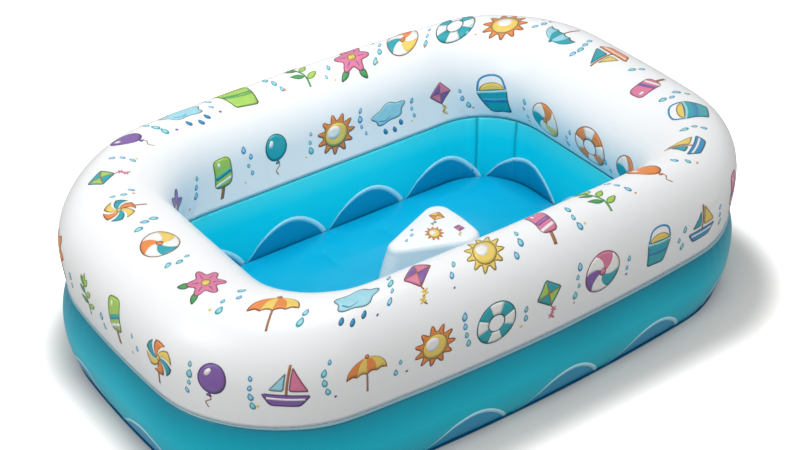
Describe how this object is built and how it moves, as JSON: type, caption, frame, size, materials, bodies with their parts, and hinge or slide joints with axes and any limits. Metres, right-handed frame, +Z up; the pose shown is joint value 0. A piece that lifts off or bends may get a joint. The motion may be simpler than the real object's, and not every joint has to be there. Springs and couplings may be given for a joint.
{
  "type": "inflatable bathtub",
  "caption": "Inflatable baby bath: plump white ring over a teal ring, upright basin walls, cushioned floor with a saddle horn, sunk air valves and a floor drain.",
  "frame": {"origin": "on the ground under the middle of the bath", "axes": "+X along the bath, from the end the child leans on to the foot end, +Y across it to the side with the air valves, +Z up"},
  "size_m": [0.879, 0.569, 0.234],
  "materials": {
    "white_vinyl": "glossy printed vinyl film",
    "teal_vinyl": "glossy translucent vinyl film",
    "cyan_vinyl": "glossy vinyl film",
    "pale_weld": "heat welded vinyl lip",
    "clear_vinyl": "soft clear moulded vinyl"
  },
  "bodies": {
    "bath": {"upper_ring_skin": "white_vinyl", "horn_skin": "white_vinyl", "horn_seam_weld": "white_vinyl", "lower_ring_outer_wall": "teal_vinyl", "base_seam_weld": "teal_vinyl", "basin_wall": "cyan_vinyl", "floor_sheet": "cyan_vinyl", "base_sheet": "cyan_vinyl", "inner_seam_weld": "cyan_vinyl", "floor_seam_weld": "cyan_vinyl", "outer_seam_weld": "pale_weld", "chamber_divider": "clear_vinyl", "drain_seat": "clear_vinyl", "tie_web_1": "clear_vinyl", "tie_web_2": "clear_vinyl", "tie_web_3": "clear_vinyl", "tie_web_4": "clear_vinyl", "tie_web_5": "clear_vinyl", "tie_web_6": "clear_vinyl", "tie_web_7": "clear_vinyl", "tie_web_8": "clear_vinyl", "floor_tie_1": "clear_vinyl", "floor_tie_2": "clear_vinyl", "floor_tie_3": "clear_vinyl", "floor_tie_4": "clear_vinyl", "upper_ring_valve_dish": "clear_vinyl", "lower_ring_valve_dish": "clear_vinyl", "horn_valve_dish": "clear_vinyl"},
    "upper_ring_stem": {"upper_ring_valve_stem": "clear_vinyl"},
    "upper_ring_flap": {"upper_ring_valve_flap": "clear_vinyl"},
    "upper_ring_stopper": {"upper_ring_valve_stopper": "clear_vinyl"},
    "lower_ring_stem": {"lower_ring_valve_stem": "clear_vinyl"},
    "lower_ring_flap": {"lower_ring_valve_flap": "clear_vinyl"},
    "lower_ring_stopper": {"lower_ring_valve_stopper": "clear_vinyl"},
    "horn_stem": {"horn_valve_stem": "clear_vinyl"},
    "horn_flap": {"horn_valve_flap": "clear_vinyl"},
    "horn_stopper": {"horn_valve_stopper": "clear_vinyl"},
    "drain_plug": {"drain_plug": "clear_vinyl"}
  },
  "joints": [
    {"name": "upper_ring_valve_pop", "type": "slide", "parent": "bath", "child": "upper_ring_stem", "axis": [0.0495, 0.9983, -0.0297], "range_m": [0, 0.009]},
    {"name": "upper_ring_flap_hinge", "type": "hinge", "parent": "upper_ring_stem", "child": "upper_ring_flap", "pos_m": [0.13163, 0.25716, 0.15377], "axis": [-0.9988, 0.0495, 0], "range_deg": [0, 35], "stiffness_Nm_per_rad": 0.0001},
    {"name": "upper_ring_stopper_hinge", "type": "hinge", "parent": "upper_ring_stem", "child": "upper_ring_stopper", "pos_m": [0.13239, 0.27251, 0.15571], "axis": [0.9988, -0.0495, 0], "range_deg": [0, 100]},
    {"name": "lower_ring_valve_pop", "type": "slide", "parent": "bath", "child": "lower_ring_stem", "axis": [-0.0464, 0.9696, 0.2403], "range_m": [0, 0.009]},
    {"name": "lower_ring_flap_hinge", "type": "hinge", "parent": "lower_ring_stem", "child": "lower_ring_flap", "pos_m": [-0.1295, 0.25979, 0.07777], "axis": [-0.9989, -0.0478, 0], "range_deg": [0, 35], "stiffness_Nm_per_rad": 0.0001},
    {"name": "lower_ring_stopper_hinge", "type": "hinge", "parent": "lower_ring_stem", "child": "lower_ring_stopper", "pos_m": [-0.13018, 0.27405, 0.08378], "axis": [0.9989, 0.0478, 0], "range_deg": [0, 100]},
    {"name": "horn_valve_pop", "type": "slide", "parent": "bath", "child": "horn_stem", "axis": [1, 0, 0], "range_m": [0, 0.009]},
    {"name": "horn_flap_hinge", "type": "hinge", "parent": "horn_stem", "child": "horn_flap", "pos_m": [0.07445, 0, 0.0562], "axis": [0, 1, 0], "range_deg": [0, 35], "stiffness_Nm_per_rad": 0.0001},
    {"name": "horn_stopper_hinge", "type": "hinge", "parent": "horn_stem", "child": "horn_stopper", "pos_m": [0.08975, 0, 0.0586], "axis": [0, -1, 0], "range_deg": [0, 100]},
    {"name": "drain_plug_hinge", "type": "hinge", "parent": "bath", "child": "drain_plug", "pos_m": [-0.179, -0.1, 0.01545], "axis": [0, 1, 0], "range_deg": [0, 150]}
  ]
}
